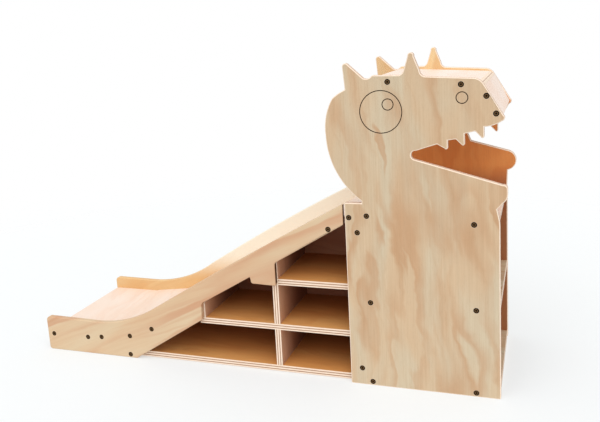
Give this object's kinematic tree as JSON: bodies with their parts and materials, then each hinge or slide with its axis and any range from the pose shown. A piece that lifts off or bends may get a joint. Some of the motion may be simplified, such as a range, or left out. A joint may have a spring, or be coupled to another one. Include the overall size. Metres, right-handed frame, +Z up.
{
  "type": "toddler slide",
  "caption": "Plywood toddler slide with a small stepped tower, animal-head sides, sloping bed between rails, and open storage shelves below the slope.",
  "frame": {"origin": "centre of the overall footprint, on the floor", "axes": "+X from the slide's low end towards the tower, +Y from the shelf side towards the closed side, +Z up"},
  "size_m": [1.453, 0.42, 0.9146],
  "materials": {
    "panel_plywood": "clear satin on birch plywood",
    "rail_pine": "clear satin on pine",
    "bed_plywood": "smooth clear coat on pale plywood",
    "shelf_plywood": "clear satin on plywood",
    "back_plywood": "clear satin on thin plywood",
    "bolt_metal": "dark bronze plating",
    "nut_metal": "zinc plating",
    "dowel_wood": "bare beech"
  },
  "bodies": {
    "root": {"front_side_panel": "panel_plywood", "rear_side_panel": "panel_plywood", "front_rail": "rail_pine", "rear_rail": "rail_pine", "run_out_board": "bed_plywood", "transition_board": "bed_plywood", "main_slide_board": "bed_plywood", "deck_board": "bed_plywood", "crown_board": "bed_plywood", "nose_board": "bed_plywood", "middle_step": "shelf_plywood", "tower_base_board": "shelf_plywood", "partition_wall": "shelf_plywood", "shelf_base_board": "shelf_plywood", "middle_shelf": "shelf_plywood", "upper_shelf": "shelf_plywood", "lower_main_divider": "shelf_plywood", "upper_main_divider": "shelf_plywood", "short_divider": "shelf_plywood", "back_panel": "back_plywood", "head_bolts": "bolt_metal", "tower_bolts": "bolt_metal", "rail_bolts": "bolt_metal", "head_barrel_nuts": "nut_metal", "tower_barrel_nuts": "nut_metal", "rail_barrel_nuts": "nut_metal", "shelf_dowels": "dowel_wood"}
  },
  "joints": []
}
